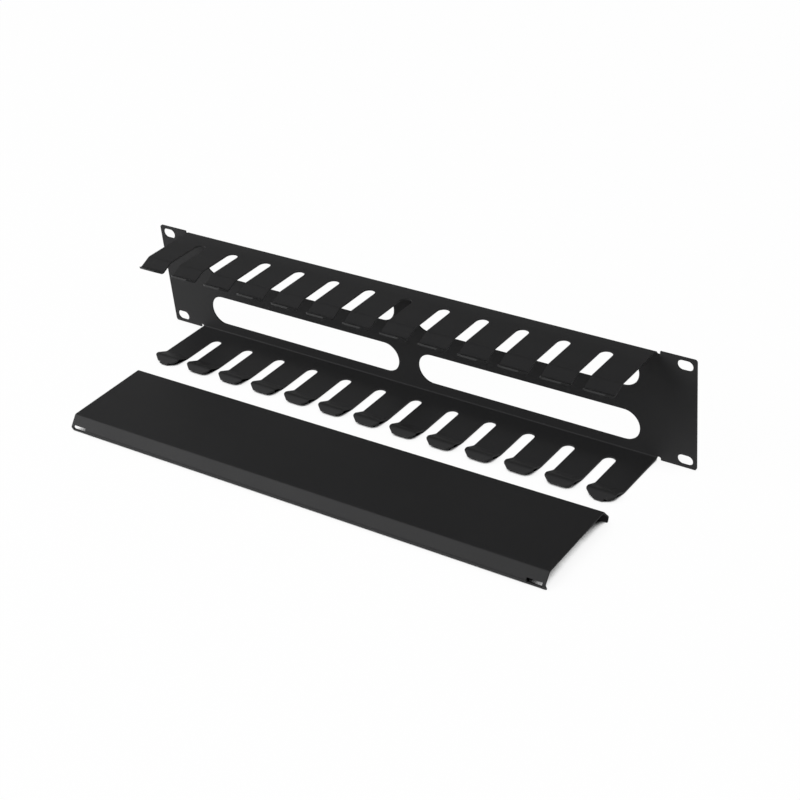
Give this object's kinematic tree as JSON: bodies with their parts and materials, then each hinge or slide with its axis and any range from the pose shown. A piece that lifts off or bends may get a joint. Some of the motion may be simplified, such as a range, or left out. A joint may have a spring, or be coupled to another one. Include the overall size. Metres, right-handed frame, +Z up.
{
  "type": "horizontal cable manager",
  "caption": "Horizontal rack cable manager: a folded steel panel with slotted ears, oval windows and finger combs above and below, its push-on cover lying loose in front.",
  "frame": {"origin": "middle of the rack slot pattern, on the rear face of the panel, which meets the rack rails", "axes": "+X along the length, +Y to the rear towards the rack, +Z up"},
  "size_m": [0.4826, 0.1716, 0.0886],
  "materials": {
    "black_powder_coat": "fine-textured satin black powder coat"
  },
  "bodies": {
    "root": {"comb_panel": "black_powder_coat", "snap_cover": "black_powder_coat"}
  },
  "joints": []
}
